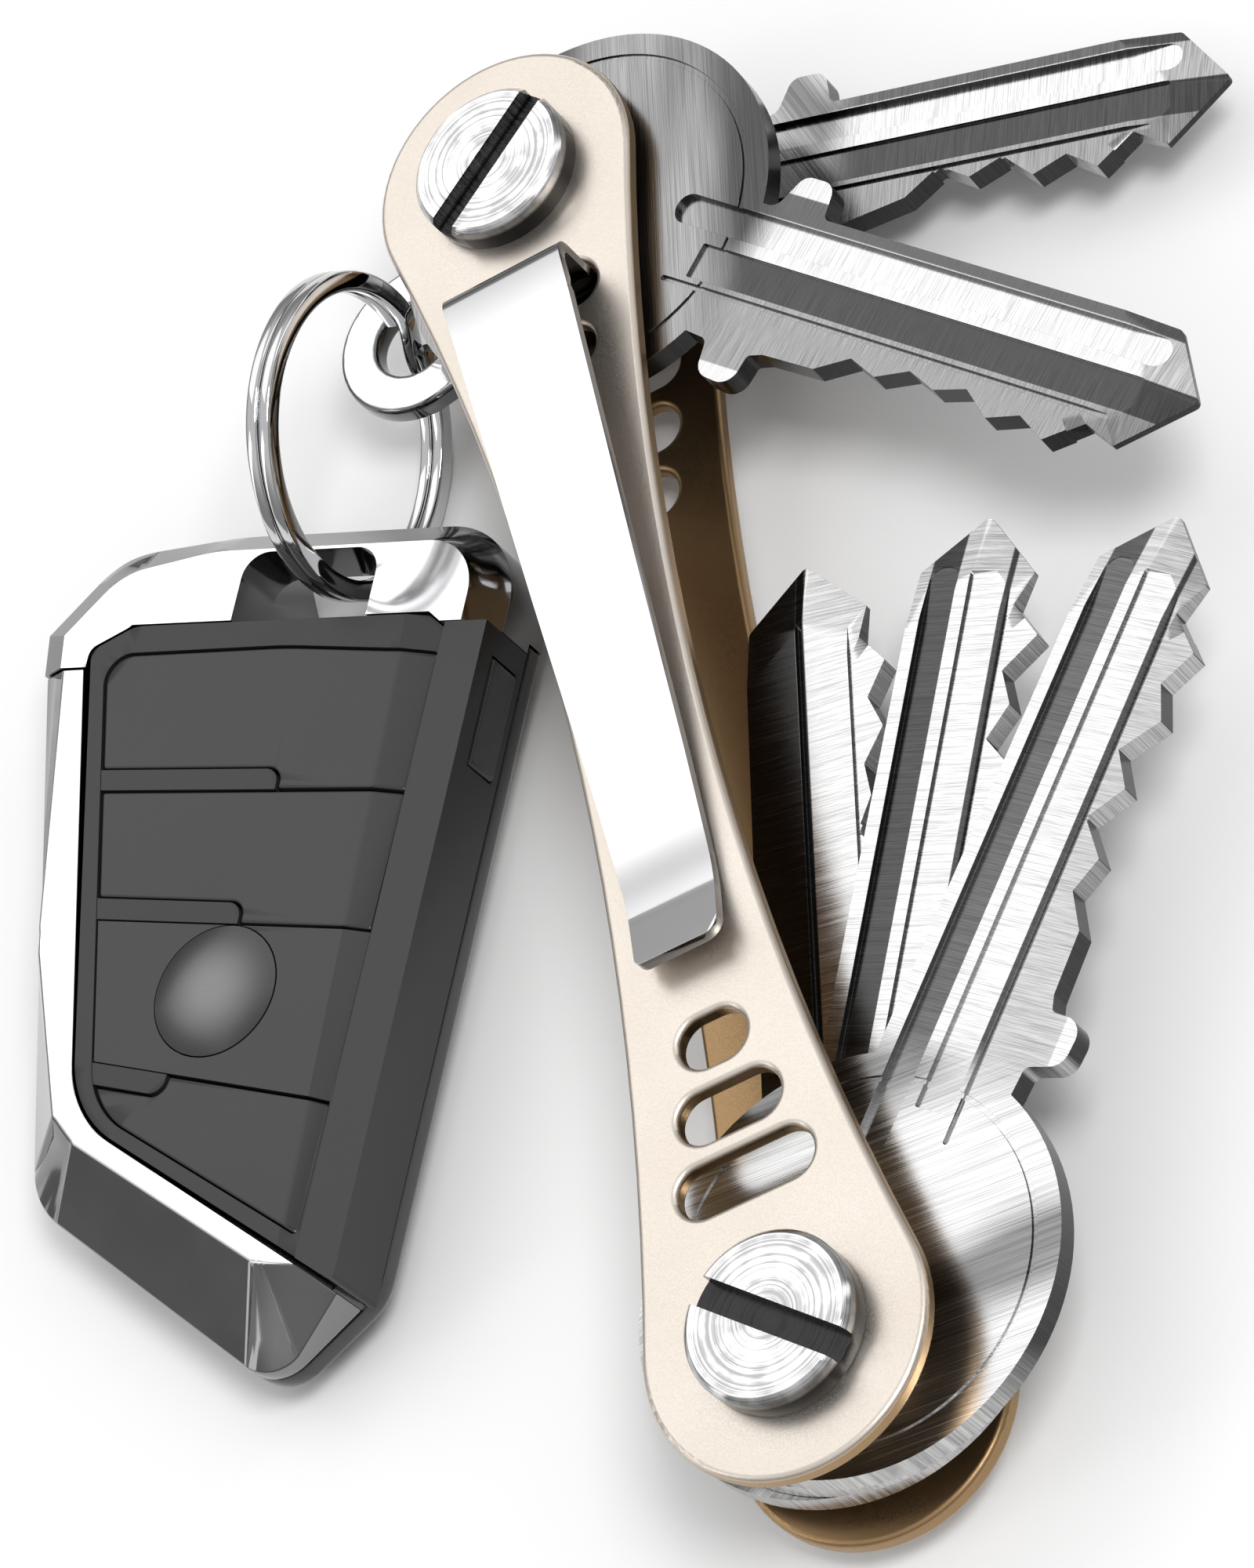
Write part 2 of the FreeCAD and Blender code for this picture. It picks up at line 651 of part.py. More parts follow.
SPINE_X = 13.3
RIGHT_X = 16.0
CAP_Y = 18.7
SHELL_CORNERS = [
    (-14.3, CAP_Y - 0.06, 0), (-10.9, -1.0, 20.0), (-7.2, -15.0, 5.0),
    (11.2, -25.0, 2.6), (RIGHT_X, -19.5, 3.2), (RIGHT_X, CAP_Y - 0.06, 0),
]
CAVITY_CORNERS = [
    (-12.0, CAP_Y - 1.3, 1.0), (-8.8, -1.0, 18.0), (-5.4, -13.3, 3.2),
    (10.2, -22.0, 1.0), (RIGHT_X - 2.2, -17.8, 1.2), (RIGHT_X - 2.2, CAP_Y - 1.3, 1.0),
]
BAND_CORNERS = [
    (-13.75, 16.1, 0), (-10.9, -1.0, 20.0), (-7.2, -15.0, 5.0), (11.2, -25.0, 2.6),
    (15.2, -20.3, 0), (-3.5, -11.1, 7.0), (-10.45, 16.1, 0),
]
CAP_CORNERS = [
    (-14.2, CAP_Y, 0), (-10.3, 23.5, 6.0), (-3.5, 24.8, 14.0), (RIGHT_X, 24.8, 5.0),
    (RIGHT_X, CAP_Y, 0),
]
CAP_WINGS = [
    [(-13.8, 16.16, 0), (-10.35, 16.16, 0), (-10.35, 17.3, 0.8), (-7.6, 18.75, 1.0),
     (-7.6, 20.0, 0), (-13.1, 20.0, 0), (-14.2, CAP_Y, 0)],
    [(12.0, 18.75, 0), (12.9, 18.1, 0), (RIGHT_X, 18.1, 0), (RIGHT_X, 19.4, 0),
     (12.0, 19.4, 0)],
]
LUG_OPENING = (-1.1, 7.9, CAP_Y - 0.6, 22.9)
BEZEL_CORNERS = [
    (-7.6, 18.64, 2.2), (-10.3, 17.2, 0.8), (-3.44, -11.0, 7.0),
    (SPINE_X - 0.05, -18.98, 0), (SPINE_X - 0.05, 18.04, 0), (12.85, 18.04, 0),
    (11.95, 18.64, 0),
]
BUTTON_FIELD = [
    (-9.3, 16.95, 1.6), (-2.35, -10.7, 5.5), (SPINE_X - 0.35, -17.8, 0.3),
    (SPINE_X - 0.35, 16.5, 0.3), (10.0, 16.6, 12.0), (3.0, 17.05, 30.0),
]
DIVIDERS = [8.45, 0.65, -7.6]
FIELD_TILT = [-0.02, -0.045, -0.14]


def rectangle(left, right, low, high, radius=0.0):
    return [(left, low, radius), (right, low, radius), (right, high, radius),
            (left, high, radius)]


def back_shell():
    body = slab("shell_body", SHELL_CORNERS, "sizes.fob_split")
    cavity = new_sketch(body, "shell_cavity", lift="sizes.fob_split")
    draw_outline(cavity, CAVITY_CORNERS)
    pocket(body, cavity, "sizes.fob_split - sizes.fob_floor", "shell_cavity_cut")

    def under_rim(edge):
        return flat_at(edge, 0) and edge.CenterOfMass.y < CAP_Y - 1

    bevel_edges(body, under_rim, "sizes.fob_under_bevel", "shell_bevel")
    return fob_piece(body, "fob_back_shell")


def rim_test(inner_corners):
    """A test for upper edges that stand well clear of a piece's inner outline."""
    inner = Part.makePolygon([Vector(x, y, 0) for x, y, _ in inner_corners])
    top = size("fob_face") + size("fob_joint")

    def outer_upper(edge):
        middle = edge.valueAt((edge.FirstParameter + edge.LastParameter) / 2)
        gap = inner.distToShape(Part.Vertex(middle.x, middle.y, 0))[0]
        return flat_at(edge, top) and gap > 1.8

    return outer_upper


def side_band():
    low = "sizes.fob_split + sizes.fob_joint"
    body = slab("band_body", BAND_CORNERS, "sizes.fob_face - sizes.fob_split", low=low)
    bevel_edges(body, rim_test(BAND_CORNERS[-3:]), "sizes.fob_rim_bevel", "band_bevel")
    return fob_piece(body, "fob_side_band")


def top_cap():
    """Bright end piece: a full-height bow with two wings that lie over the shell."""
    body = slab("cap_body", CAP_CORNERS, "sizes.fob_face + sizes.fob_joint")
    for i, wing in enumerate(CAP_WINGS):
        outline = new_sketch(body, f"cap_wing_{i}", lift="sizes.fob_split + sizes.fob_joint")
        draw_outline(outline, wing)
        pad(body, outline, "sizes.fob_face - sizes.fob_split", f"cap_wing_pad_{i}")
    face = size("fob_face") + size("fob_joint")

    def upper_rim(edge):
        middle = edge.CenterOfMass
        return flat_at(edge, face) and (middle.y > 19.2 or abs(middle.x - 1) > 14.4)

    def under_rim(edge):
        return flat_at(edge, 0) and edge.CenterOfMass.y > CAP_Y + 0.1

    bevel_edges(body, upper_rim, "sizes.fob_rim_bevel - 0.2", "cap_upper_bevel")
    bevel_edges(body, under_rim, "sizes.fob_under_bevel", "cap_under_bevel")
    left, right, bottom, top = LUG_OPENING
    opening = new_sketch(body, "cap_opening", lift="sizes.fob_face + 1")
    draw_outline(opening, [(left, bottom, 0), (right, bottom, 0), (right, top, 1.6),
                           (left, top, 1.6)])
    pocket(body, opening, "sizes.fob_face + 2", "cap_opening_cut")
    notch = new_sketch(body, "cap_notch", lift="0")
    draw_outline(notch, rectangle(left, right, top - 2.0, 27.0))
    pocket(body, notch, "4.4", "cap_notch_cut", upwards=True)
    return fob_piece(body, "fob_top_cap")


def spine():
    corners = rectangle(SPINE_X, RIGHT_X, -19.0, 18.04)
    corners[0] = (SPINE_X, -19.05, 0)
    corners[1] = (RIGHT_X, -20.35, 0.3)
    low = "sizes.fob_split + sizes.fob_joint"
    body = slab("spine_body", corners, "sizes.fob_face - sizes.fob_split", low=low)
    well = new_sketch(body, "spine_well", lift="6.6")
    draw_outline(well, rectangle(RIGHT_X - 1.3, RIGHT_X + 1, 9.9, 16.5))
    pocket(body, well, "2.6", "spine_well_cut")
    return fob_piece(body, "fob_spine")


def side_button():
    corners = rectangle(RIGHT_X - 0.9, RIGHT_X + 0.15, 10.0, 16.4, 0.3)
    body = slab("side_button_body", corners, "2.4", low="4.1")
    return fob_piece(body, "fob_side_button")


def divider(index, x, offset=0.0):
    """Height of a divider line across the button field."""
    return DIVIDERS[index] + offset + FIELD_TILT[index] * (x + 5.0)


def field_zone(upper, lower):
    """Corners of a button between two divider lines; None is the field's own edge."""
    gap = 0.07
    left_x = -12.0
    right_x = SPINE_X - 0.35
    high = [(left_x, 20.0), (right_x, 20.0)]
    low = [(right_x, -22.0), (left_x, -22.0)]
    if upper is not None:
        high = [(x, divider(upper, x, -gap)) for x in (left_x, right_x)]
    if lower is not None:
        low = [(x, divider(lower, x, gap)) for x in (right_x, left_x)]
    return [(x, y, 0) for x, y in high + low]


def inset(corners, amount):
    """Corners of an outline that runs clockwise or not, moved inwards by an amount."""
    points = [Vector(x, y, 0) for x, y, _ in corners]
    area = sum(points[i - 1].cross(point).z for i, point in enumerate(points))
    inside = math.copysign(1.0, area)
    moved = []
    for i, point in enumerate(points):
        before = (point - points[i - 1]).normalize()
        after = (points[(i + 1) % len(points)] - point).normalize()
        normals = [Vector(-way.y, way.x, 0) * inside for way in (before, after)]
        shift = (normals[0] + normals[1]) * (amount / (1 + normals[0].dot(normals[1])))
        radius = corners[i][2]
        moved.append((point.x + shift.x, point.y + shift.y, max(radius - amount, 0)))
    return moved


def in_field(name, corners, low, thickness, play=0.0):
    """A slab kept to the button field."""
    field = slab(name + "_field", inset(BUTTON_FIELD, play), thickness, low=low)
    zone = slab(name + "_zone", corners, thickness, low=low)
    shape = doc.addObject("Part::Common", name + "_shape")
    shape.Base = field
    shape.Tool = zone
    return shape


TABS = [(0, 1, 4.6), (1, 1, 4.3), (2, -1, 2.1)]
TAB_HIGH = 1.25


def tab_corners(index, side, right, play=0.0):
    """A fixed rib that stands along the left end of a divider line, or its notch."""
    ends = (-12.0, right + play)
    near = [(x, divider(index, x, -side * play)) for x in ends]
    far = [(x, divider(index, x, side * (TAB_HIGH + play))) for x in ends]
    corners = [(*near[0], 0), (*near[1], 0), (*far[1], 0.9), (*far[0], 0)]
    return corners if side > 0 else corners[::-1]


def bezel():
    """The frame round the buttons, with the three ribs and a thin web under them."""
    low = "4.2"
    thick = "sizes.fob_face - 4.2"
    frame = slab("bezel_frame", BEZEL_CORNERS, thick, low=low)
    window = slab("bezel_window", BUTTON_FIELD, "10", low="2")
    ring = cut("bezel_ring", frame, window)
    ribs = [in_field(f"rib_{i}", tab_corners(*tab), "6.05", "1.7")
            for i, tab in enumerate(TABS)]
    return fob_piece(join("bezel_joined", [ring] + ribs), "fob_bezel")


def button(label, upper, lower, notches, hole=None):
    """One rocker plate of the field with notches for the ribs beside it."""
    shape = in_field(label, field_zone(upper, lower), "sizes.button_low",
                     "sizes.button_top - sizes.button_low", play=0.06)
    tools = []
    for i in notches:
        tools.append(slab(f"{label}_notch_{i}", tab_corners(*TABS[i], play=0.1),
                          "10", low="2"))
    if hole:
        tools.append(hole)
    return fob_piece(cut(label + "_cut", shape, group(label + "_tools", tools)), label)


BADGE = (3.9, -3.7)


def badge():
    """A blank domed disc: a slice of a ball over a short cylinder."""
    radius = size("badge_r") - 0.07
    rise = 0.42
    ball_r = (radius ** 2 + rise ** 2) / (2 * rise)
    disc = cylinder("badge_disc", "sizes.badge_r - 0.07", "3", x=str(BADGE[0]),
                    y=str(BADGE[1]), z="sizes.button_low + 0.6")
    ball = doc.addObject("Part::Sphere", "badge_ball")
    ball.Radius = ball_r
    bind(ball, Placement__Base__x=str(BADGE[0]), Placement__Base__y=str(BADGE[1]),
         Placement__Base__z=f"sizes.button_top + {0.02 + rise - ball_r}")
    shape = doc.addObject("Part::Common", "badge_shape")
    shape.Base = disc
    shape.Tool = ball
    return fob_piece(group("badge_placed", [shape]), "fob_badge")


back_shell()
side_band()
top_cap()
spine()
side_button()
bezel()
button("fob_button_upper", None, 0, (0,))
button("fob_button_middle", 0, 1, (1,))
badge_well = cylinder("badge_well", "sizes.badge_r", "10", x=str(BADGE[0]),
                      y=str(BADGE[1]), z="sizes.button_low + 0.55")
button("fob_button_centre", 1, 2, (), hole=badge_well)
button("fob_button_lower", 2, None, (2,))
badge()


def fob_inside():
    """Board, switches, rubber mat, coin cell, its spring clip and the aerial."""
    board = [(-8.6, 16.6, 1.0), (-2.3, -9.6, 5.0), (12.6, -16.6, 0.6), (12.6, 16.6, 1.0)]
    fob_piece(slab("board_body", board, "sizes.board_thick", low="sizes.board_low"),
              "fob_circuit_board")
    mat = [(-8.2, 15.8, 1.5), (-1.9, -9.6, 5.0), (12.4, -16.2, 0.6), (12.4, 15.8, 1.0)]
    fob_piece(slab("mat_body", mat, "0.45", low="5.25"), "fob_button_mat")
    switches = [box(f"switch_{i}", "2.4", "2.4", "1.1", x=str(x - 1.2),
                    y=str(y - 1.2), z="sizes.board_low + sizes.board_thick + 0.02")
                for i, (x, y) in enumerate([(3.0, 12.5), (3.5, 4.5), (4.0, -3.7),
                                            (6.5, -11.5), (10.6, 13.2)])]
    fob_piece(group("switch_group", switches), "fob_switches")
    cell = cylinder("cell", "sizes.cell_r", "sizes.cell_thick", x="4", y="3",
                    z="sizes.fob_floor + 0.1")
    fob_piece(group("cell_placed", [cell]), "fob_coin_cell")
    strip = box("cell_strip", "3", "12", "0.3", x="2.5", y="-3",
                z="sizes.fob_floor + sizes.cell_thick + 0.2")
    fob_piece(group("strip_placed", [strip]), "fob_cell_clip")
    rod = box("aerial_rod", "2", "9", "1.6", x="-5.5", y="4",
              z="sizes.fob_floor + 0.1")
    fob_piece(group("aerial_placed", [rod]), "fob_aerial")


fob_inside()


# ---------------------------------------------------------------- checks and export

doc.recompute()
for thing in doc.Objects:
    if "Invalid" in thing.State or "Error" in thing.State:
        raise RuntimeError(f"{thing.Label} failed: {thing.State}")
os.makedirs("parts", exist_ok=True)
for thing in SUB_PARTS:
    shape = thing.Shape
    if shape.isNull() or not shape.isValid() or not shape.Solids:
        raise RuntimeError(f"{thing.Label} has no sound solid")
    shape.exportStep(os.path.join("parts", thing.Label + ".step"))
    box_text = shape.BoundBox
    print(f"{thing.Label:20s} solids {len(shape.Solids)} volume {shape.Volume:9.2f}"
          f"  x {box_text.XMin:7.2f} {box_text.XMax:7.2f}"
          f"  y {box_text.YMin:7.2f} {box_text.YMax:7.2f}"
          f"  z {box_text.ZMin:6.2f} {box_text.ZMax:6.2f}")
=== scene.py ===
import json
import math

import bmesh
import bpy
from mathutils import Matrix, Vector


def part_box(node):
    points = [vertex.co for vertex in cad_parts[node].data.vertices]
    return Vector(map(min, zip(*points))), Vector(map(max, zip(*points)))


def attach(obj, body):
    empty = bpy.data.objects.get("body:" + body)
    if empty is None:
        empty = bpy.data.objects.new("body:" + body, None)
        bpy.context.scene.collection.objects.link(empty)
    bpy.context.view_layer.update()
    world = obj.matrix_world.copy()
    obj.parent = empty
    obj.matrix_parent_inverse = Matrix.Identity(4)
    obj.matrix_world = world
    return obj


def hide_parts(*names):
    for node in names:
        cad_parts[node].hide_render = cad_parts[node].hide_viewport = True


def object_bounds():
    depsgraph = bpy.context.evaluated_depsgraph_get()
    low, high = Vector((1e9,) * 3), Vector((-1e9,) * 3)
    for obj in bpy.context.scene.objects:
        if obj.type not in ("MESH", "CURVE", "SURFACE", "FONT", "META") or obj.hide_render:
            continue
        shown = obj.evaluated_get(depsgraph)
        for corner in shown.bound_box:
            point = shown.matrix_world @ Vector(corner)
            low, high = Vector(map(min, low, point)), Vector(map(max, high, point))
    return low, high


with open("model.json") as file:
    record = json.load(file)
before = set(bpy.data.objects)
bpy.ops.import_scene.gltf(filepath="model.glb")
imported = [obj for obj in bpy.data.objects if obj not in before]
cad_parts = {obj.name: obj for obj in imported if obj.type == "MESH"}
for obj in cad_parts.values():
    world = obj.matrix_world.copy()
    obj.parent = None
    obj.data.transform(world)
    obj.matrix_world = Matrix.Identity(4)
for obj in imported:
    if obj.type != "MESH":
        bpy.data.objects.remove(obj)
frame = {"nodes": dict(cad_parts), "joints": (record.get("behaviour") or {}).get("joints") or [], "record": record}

CAD_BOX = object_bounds()
MM = 0.001
NODES = frame["nodes"]
BODY_OF = {node: body for body, nodes in frame["record"]["behaviour"]["bodies"].items()
           for node in nodes}
JOINTS = {joint["name"]: joint for joint in frame["joints"]}


# ---------------------------------------------------------------- finishes

class Finish:
    """A material under construction: one Principled shader and the nodes that feed it."""

    def __init__(self, name, colour, metallic, roughness, **constants):
        self.material = bpy.data.materials.new(name)
        self.material.use_nodes = True
        self.tree = self.material.node_tree
        self.tree.nodes.clear()
        self.shader = self.add("ShaderNodeBsdfPrincipled")
        output = self.add("ShaderNodeOutputMaterial")
        self.join(self.shader.outputs["BSDF"], output.inputs["Surface"])
        constants.update({"Base Color": (*colour, 1.0), "Metallic": metallic,
                          "Roughness": roughness})
        for socket, value in constants.items():
            self.shader.inputs[socket].default_value = value

    def add(self, kind, **settings):
        node = self.tree.nodes.new(kind)
        for name, value in settings.items():
            setattr(node, name, value)
        return node

    def join(self, output, socket):
        self.tree.links.new(output, socket)

    def place(self, centre=(0, 0, 0), turn=0.0, grain=(1, 1, 1)):
        """Object coordinates about a centre, turned, and counted in grains of a size."""
        source = self.add("ShaderNodeTexCoord")
        mapping = self.add("ShaderNodeMapping", vector_type="TEXTURE")
        mapping.inputs["Location"].default_value = centre
        mapping.inputs["Rotation"].default_value = (0, 0, turn)
        mapping.inputs["Scale"].default_value = grain
        self.join(source.outputs["Object"], mapping.inputs["Vector"])
        return mapping.outputs["Vector"]

    def noise(self, vector, detail=3.0, rough=0.5):
        """Cloudy noise with one cell to each grain of the vector."""
        node = self.add("ShaderNodeTexNoise")
        node.inputs["Scale"].default_value = 1.0
        node.inputs["Detail"].default_value = detail
        node.inputs["Roughness"].default_value = rough
        self.join(vector, node.inputs["Vector"])
        return node.outputs["Fac"]

    def remap(self, value, low, high, new_low, new_high, smooth=False):
        node = self.add("ShaderNodeMapRange")
        node.interpolation_type = "SMOOTHSTEP" if smooth else "LINEAR"
        for socket, number in (("From Min", low), ("From Max", high),
                               ("To Min", new_low), ("To Max", new_high)):
            node.inputs[socket].default_value = number
        self.join(value, node.inputs["Value"])
        return node.outputs["Result"]

    def maths(self, operation, first, second):
        node = self.add("ShaderNodeMath", operation=operation)
        for socket, value in zip(node.inputs, (first, second)):
            if isinstance(value, (int, float)):
                socket.default_value = value
            else:
                self.join(value, socket)
        return node.outputs["Value"]

    def tint(self, factor, dark, light):
        """Base colour that goes from dark to light as a factor goes from 0 to 1."""
        node = self.add("ShaderNodeMix", data_type="RGBA")
        sockets = [socket for socket in node.inputs if socket.type == "RGBA"]
        sockets[0].default_value = (*dark, 1.0)
        sockets[1].default_value = (*light, 1.0)
        self.join(factor, node.inputs["Factor"])
        result = next(socket for socket in node.outputs if socket.type == "RGBA")
        self.join(result, self.shader.inputs["Base Color"])

    def rough(self, factor, low, high):
        self.join(self.remap(factor, 0.3, 0.7, low, high), self.shader.inputs["Roughness"])

    def relief(self, heights):
        """Bumps from (height, strength, depth) triples, one over the other."""
        normal = None
        for height, strength, depth in heights:
            bump = self.add("ShaderNodeBump")
            bump.inputs["Strength"].default_value = strength
            bump.inputs["Distance"].default_value = depth
            self.join(height, bump.inputs["Height"])
            if normal:
                self.join(normal, bump.inputs["Normal"])
            normal = bump.outputs["Normal"]
        self.join(normal, self.shader.inputs["Normal"])
        return self.material

    def axis_distance(self, vector):
        """How far a place lies from the upright axis through the vector's zero."""
        flat = self.add("ShaderNodeVectorMath", operation="MULTIPLY")
        flat.inputs[1].default_value = (1, 1, 0)
        self.join(vector, flat.inputs[0])
        length = self.add("ShaderNodeVectorMath", operation="LENGTH")
        self.join(flat.outputs["Vector"], length.inputs[0])
        return length.outputs["Value"]

    def facing(self, direction):
        """How far the surface faces a direction, from -1 to 1."""
        surface = self.add("ShaderNodeNewGeometry")
        dot = self.add("ShaderNodeVectorMath", operation="DOT_PRODUCT")
        dot.inputs[1].default_value = direction
        self.join(surface.outputs["Normal"], dot.inputs[0])
        return dot.outputs["Value"]

    def level(self):
        """How level the surface lies, up or down, from 0 to 1."""
        return self.maths("ABSOLUTE", self.facing((0, 0, 1)), 0.0)

    def window(self, value, low, high, edge):
        """1 between two limits and 0 outside them, with soft edges."""
        rising = self.remap(value, low - edge, low + edge, 0, 1, smooth=True)
        falling = self.remap(value, high - edge, high + edge, 1, 0, smooth=True)
        return self.maths("MULTIPLY", rising, falling)

    def blend(self, factor, low, high):
        """A number that goes from low to high, each a number or a socket."""
        part = self.maths("MULTIPLY", factor, self.maths("SUBTRACT", high, low))
        return self.maths("ADD", low, part)


def scaled(colour, factor):
    return tuple(channel * factor for channel in colour)


def anodised(name, colour, shade_tone, outward):
    """Bead-blasted and anodised plate: satin and fine-grained outside, with painted shade on its inner face."""
    finish = Finish(name, colour, 1.0, 0.36)
    cloud = finish.noise(finish.place(grain=(9 * MM,) * 3), detail=2.0)
    grain = finish.noise(finish.place(grain=(0.09 * MM,) * 3), detail=2.0)
    # painted shade: faces turned away from the outward side take the deeper tone
    outside = finish.remap(finish.facing(outward), 0.1, 0.8, 0, 1)
    finish.tint(finish.maths("MULTIPLY", outside, finish.remap(cloud, 0.3, 0.7, 0.88, 1)),
                shade_tone, colour)
    finish.rough(grain, 0.30, 0.42)
    return finish.relief([(grain, 0.35, 0.006 * MM)])


def turned(name, colour, centre, low, high, slot=None):
    """Faced on a lathe: fine rings round the screw's middle; slot is (floor level, tone) of the painted shade in
    the coin slot, whose walls also get painted shade.
    """
    finish = Finish(name, colour, 1.0, 0.2)
    vector = finish.place(centre=centre)
    rings = finish.add("ShaderNodeTexNoise", noise_dimensions="1D")
    rings.inputs["Scale"].default_value = 1 / (0.22 * MM)
    rings.inputs["Detail"].default_value = 4.0
    rings.inputs["Roughness"].default_value = 0.7
    finish.join(finish.axis_distance(vector), rings.inputs["W"])
    patches = finish.noise(finish.place(grain=(1.3 * MM,) * 3), detail=2.0)
    lines = finish.maths("MULTIPLY", rings.outputs["Fac"],
                         finish.remap(patches, 0.35, 0.65, 0.8, 1.2))
    tone = finish.remap(lines, 0.36, 0.56, 0.45, 1.0)
    if slot:
        split = finish.add("ShaderNodeSeparateXYZ")
        finish.join(vector, split.inputs["Vector"])
        floor_level, dark = slot
        # painted shade: darker towards the slot's floor
        level = finish.remap(split.outputs["Z"], floor_level, floor_level + 0.35 * MM, dark, 1.0,
                             smooth=True)
        # painted shade: faces that do not face straight up are darker
        walls = finish.remap(finish.facing((0, 0, 1)), 0.2, 0.9, 0.35, 1.0)
        tone = finish.maths("MULTIPLY", tone, finish.maths("MULTIPLY", level, walls))
    finish.tint(tone, scaled(colour, 0.02), colour)
    finish.rough(lines, low, high)
    return finish.relief([(rings.outputs["Fac"], 0.7, 0.016 * MM)])


def polished(name, colour, low=0.03, high=0.10, walls=1.0, shades=()):
    """Buffed or plated mirror metal with faint hairlines and handling haze.

    walls: painted shade and reflection on what does not face straight up; shades: bands of painted shade and
    reflection, (from, to, edge, tone) along Y."""
    finish = Finish(name, colour, 1.0, 0.06)
    haze = finish.noise(finish.place(grain=(5 * MM,) * 3), detail=4.0)
    hairs = finish.noise(finish.place(turn=0.5, grain=(0.05 * MM, 3 * MM, 3 * MM)))
    tone = finish.remap(haze, 0.3, 0.7, 0.95, 1)
    # painted shade and reflection on faces that do not face straight up
    if walls < 1:
        upward = finish.remap(finish.level(), 0.88, 0.98, walls, 1, smooth=True)
        tone = finish.maths("MULTIPLY", tone, upward)
    # painted shade and reflection in bands along Y
    if shades:
        split = finish.add("ShaderNodeSeparateXYZ")
        finish.join(finish.place(), split.inputs["Vector"])
        for start, end, edge, shade_tone in shades:
            band = finish.window(split.outputs["Y"], start * MM, end * MM, edge * MM)
            tone = finish.maths("MULTIPLY", tone, finish.blend(band, 1.0, shade_tone))
    finish.tint(tone, scaled(colour, 0.02), colour)
    finish.rough(haze, low, high)
    return finish.relief([(hairs, 0.08, 0.002 * MM), (haze, 0.03, 0.05 * MM)])


def brushed_key(name, centre, turn, aside, bands, bow):
    """Nickel plate, ground across the blade and slantwise on the bow.

    bands: (from, to, tone) of painted shade and reflection across the blade; bow: the darkest and palest tone of
    the painted shade and reflection on the bow."""
    finish = Finish(name, NICKEL, 1.0, 0.25)
    across = finish.noise(finish.place(centre, turn, (0.05 * MM, 3.2 * MM, 9 * MM)),
                          detail=5.0, rough=0.65)
    slanted = finish.noise(finish.place(centre, turn - 0.95, (9 * MM, 0.06 * MM, 9 * MM)),
                           detail=5.0, rough=0.65)
    local = finish.add("ShaderNodeSeparateXYZ")
    finish.join(finish.place(centre, turn), local.inputs["Vector"])
    along = local.outputs["X"]
    sideways = finish.maths("SUBTRACT", local.outputs["Y"], aside)
    on_blade = finish.remap(along, 15.0 * MM, 18.0 * MM, 0, 1, smooth=True)
    lines = finish.blend(on_blade, slanted, across)
    tone = 1.0
    # painted shade and reflection in bands across the blade
    for low, high, level in bands:
        band = finish.window(sideways, low * MM, high * MM, 0.06 * MM)
        tone = finish.maths("MULTIPLY", tone, finish.blend(band, 1.0, level))
    # painted shade and reflection on the bow, in soft clouds
    bow_shade_cloud = finish.noise(finish.place(centre, turn - 0.95, (30 * MM, 7 * MM, 30 * MM)),
                         detail=2.0)
    tone = finish.blend(on_blade, finish.remap(bow_shade_cloud, 0.38, 0.62, bow[0], bow[1], smooth=True),
                        tone)
    # painted shade and reflection on the walls: darkest where they face away from the bow
    flat = finish.remap(finish.level(), 0.55, 0.9, 0, 1)
    towards_bow = finish.facing((-math.cos(turn), -math.sin(turn), 0.0))
    walls = finish.remap(towards_bow, 0.1, 0.5, 0.04, 0.7)
    tone = finish.blend(flat, walls, tone)
    tone = finish.maths("MULTIPLY", tone, finish.remap(lines, 0.38, 0.60, 0.50, 1.0))
    finish.tint(tone, scaled(NICKEL, 0.02), NICKEL)
    finish.rough(lines, 0.14, 0.30)
    return finish.relief([(lines, 0.35, 0.005 * MM)])


def satin_plastic(name, colour, low=0.30, high=0.38):
    """Spark-eroded moulding: a soft sheen over a fine even grain."""
    finish = Finish(name, colour, 0.0, 0.35, **{"Specular IOR Level": 0.5})
    grain = finish.noise(finish.place(grain=(0.07 * MM,) * 3), detail=2.0)
    cloud = finish.noise(finish.place(grain=(9 * MM,) * 3), detail=2.0)
    finish.tint(finish.remap(cloud, 0.3, 0.7, 0, 1), scaled(colour, 0.9), colour)
    finish.rough(grain, low, high)
    return finish.relief([(grain, 0.15, 0.004 * MM)])


def gloss_plastic(name, colour):
    """Piano-black moulding with a clear skin and a little orange peel."""
    finish = Finish(name, colour, 0.0, 0.10, **{"Coat Weight": 0.6, "Coat Roughness": 0.04})
    peel = finish.noise(finish.place(grain=(1.2 * MM,) * 3), detail=2.0)
    dust = finish.noise(finish.place(grain=(0.12 * MM,) * 3), detail=2.0)
    finish.tint(finish.remap(peel, 0.3, 0.7, 0, 1), scaled(colour, 0.8), colour)
    finish.rough(dust, 0.06, 0.14)
    return finish.relief([(peel, 0.05, 0.02 * MM)])


def domed_plastic(name, colour, centre, radius):
    """A satin dome, with a painted highlight at its crown and painted shade towards its rim."""
    finish = Finish(name, colour, 0.0, 0.2, **{"Coat Weight": 0.3, "Coat Roughness": 0.15})
    reach = finish.axis_distance(finish.place(centre=centre, grain=(radius,) * 3))
    grain = finish.noise(finish.place(grain=(0.07 * MM,) * 3), detail=2.0)
    # painted highlight at the crown, painted shade towards the rim
    crown = finish.remap(reach, 0.1, 1.0, 1.0, 0.0, smooth=True)
    finish.tint(finish.maths("MULTIPLY", crown, finish.remap(grain, 0.3, 0.7, 0.85, 1)),
                scaled(colour, 0.08), colour)
    finish.rough(grain, 0.16, 0.24)
    return finish.relief([(grain, 0.10, 0.004 * MM)])


